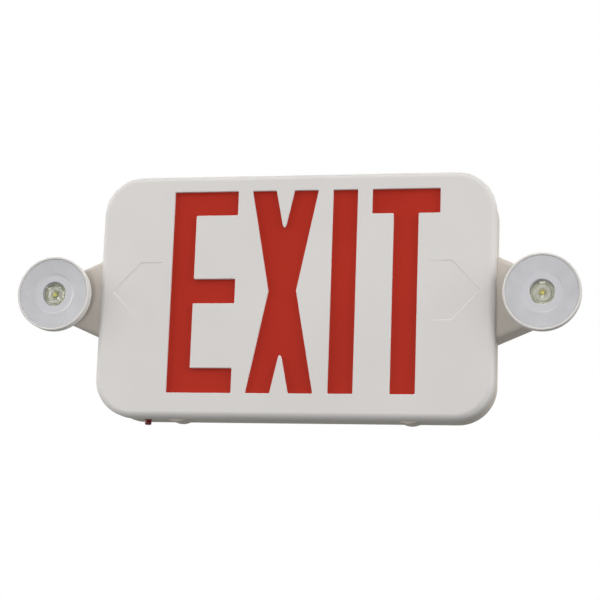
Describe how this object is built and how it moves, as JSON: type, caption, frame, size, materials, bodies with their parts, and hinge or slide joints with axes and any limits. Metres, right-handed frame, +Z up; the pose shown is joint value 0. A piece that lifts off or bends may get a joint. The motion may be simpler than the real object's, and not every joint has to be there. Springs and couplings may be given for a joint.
{
  "type": "emergency exit light",
  "caption": "Wall-mounted combination exit sign with a red lit legend panel and adjustable emergency lamp heads on side arms.",
  "frame": {"origin": "centre of the housing's flat back face, which lies on the wall, on the axis of the wire entry", "axes": "+X to the right seen from the front, along the row of lamp heads; +Y into the wall; +Z up"},
  "size_m": [0.432, 0.0508, 0.1912],
  "materials": {
    "white_plastic": "satin moulded ABS",
    "red_acrylic": "translucent red acrylic, satin",
    "tray_plastic": "white reflecting ABS",
    "reflector_plastic": "satin silver-white reflector",
    "clear_acrylic": "clear moulded acrylic",
    "circuit_board": "solder-masked board",
    "led_package": "light-emitting diode with yellow phosphor",
    "zinc_steel": "zinc-plated steel",
    "spring_steel": "bright spring steel",
    "transformer_steel": "varnished laminations",
    "black_plastic": "black plastic case",
    "terminal_plastic": "green terminal block",
    "battery_sleeve": "shrink sleeve round nickel-cadmium cells"
  },
  "bodies": {
    "housing": {"rear_housing": "white_plastic", "front_cover": "white_plastic", "left_arm_cover": "white_plastic", "right_arm_cover": "white_plastic", "arm_cover_screws": "zinc_steel", "legend_diffuser": "red_acrylic", "light_tray": "tray_plastic", "legend_led_boards": "circuit_board", "legend_leds": "led_package", "tray_screws": "zinc_steel", "main_circuit_board": "circuit_board", "board_screws": "zinc_steel", "transformer": "transformer_steel", "capacitors": "black_plastic", "transfer_relay": "black_plastic", "terminal_block": "terminal_plastic", "test_switch": "black_plastic", "battery_pack": "battery_sleeve", "battery_strap": "zinc_steel", "strap_screws": "zinc_steel"},
    "button": {"test_button": "red_acrylic", "switch_plunger": "tray_plastic"},
    "left_turret": {"left_swivel_turret": "white_plastic", "left_turret_clip": "spring_steel"},
    "left_head": {"left_tilt_pin": "spring_steel", "left_lamp_shell": "white_plastic", "left_lamp_dish": "reflector_plastic", "left_lamp_lens": "clear_acrylic", "left_lamp_board": "circuit_board", "left_lamp_led": "led_package"},
    "right_turret": {"right_swivel_turret": "white_plastic", "right_turret_clip": "spring_steel"},
    "right_head": {"right_tilt_pin": "spring_steel", "right_lamp_shell": "white_plastic", "right_lamp_dish": "reflector_plastic", "right_lamp_lens": "clear_acrylic", "right_lamp_board": "circuit_board", "right_lamp_led": "led_package"}
  },
  "joints": [
    {"name": "left_swivel", "type": "hinge", "parent": "housing", "child": "left_turret", "pos_m": [-0.1872, -0.0297, 0], "axis": [0, -1, 0], "range_deg": [-170, 170]},
    {"name": "left_tilt", "type": "hinge", "parent": "left_turret", "child": "left_head", "pos_m": [-0.1872, -0.0355, 0], "axis": [1, 0, 0], "range_deg": [-25, 25]},
    {"name": "right_swivel", "type": "hinge", "parent": "housing", "child": "right_turret", "pos_m": [0.1872, -0.0297, 0], "axis": [0, -1, 0], "range_deg": [-170, 170]},
    {"name": "right_tilt", "type": "hinge", "parent": "right_turret", "child": "right_head", "pos_m": [0.1872, -0.0355, 0], "axis": [1, 0, 0], "range_deg": [-25, 25]},
    {"name": "test_press", "type": "slide", "parent": "housing", "child": "button", "axis": [0, 0, 1], "range_m": [0, 0.0012], "stiffness_N_per_m": 800, "springref_m": -0.0005}
  ]
}
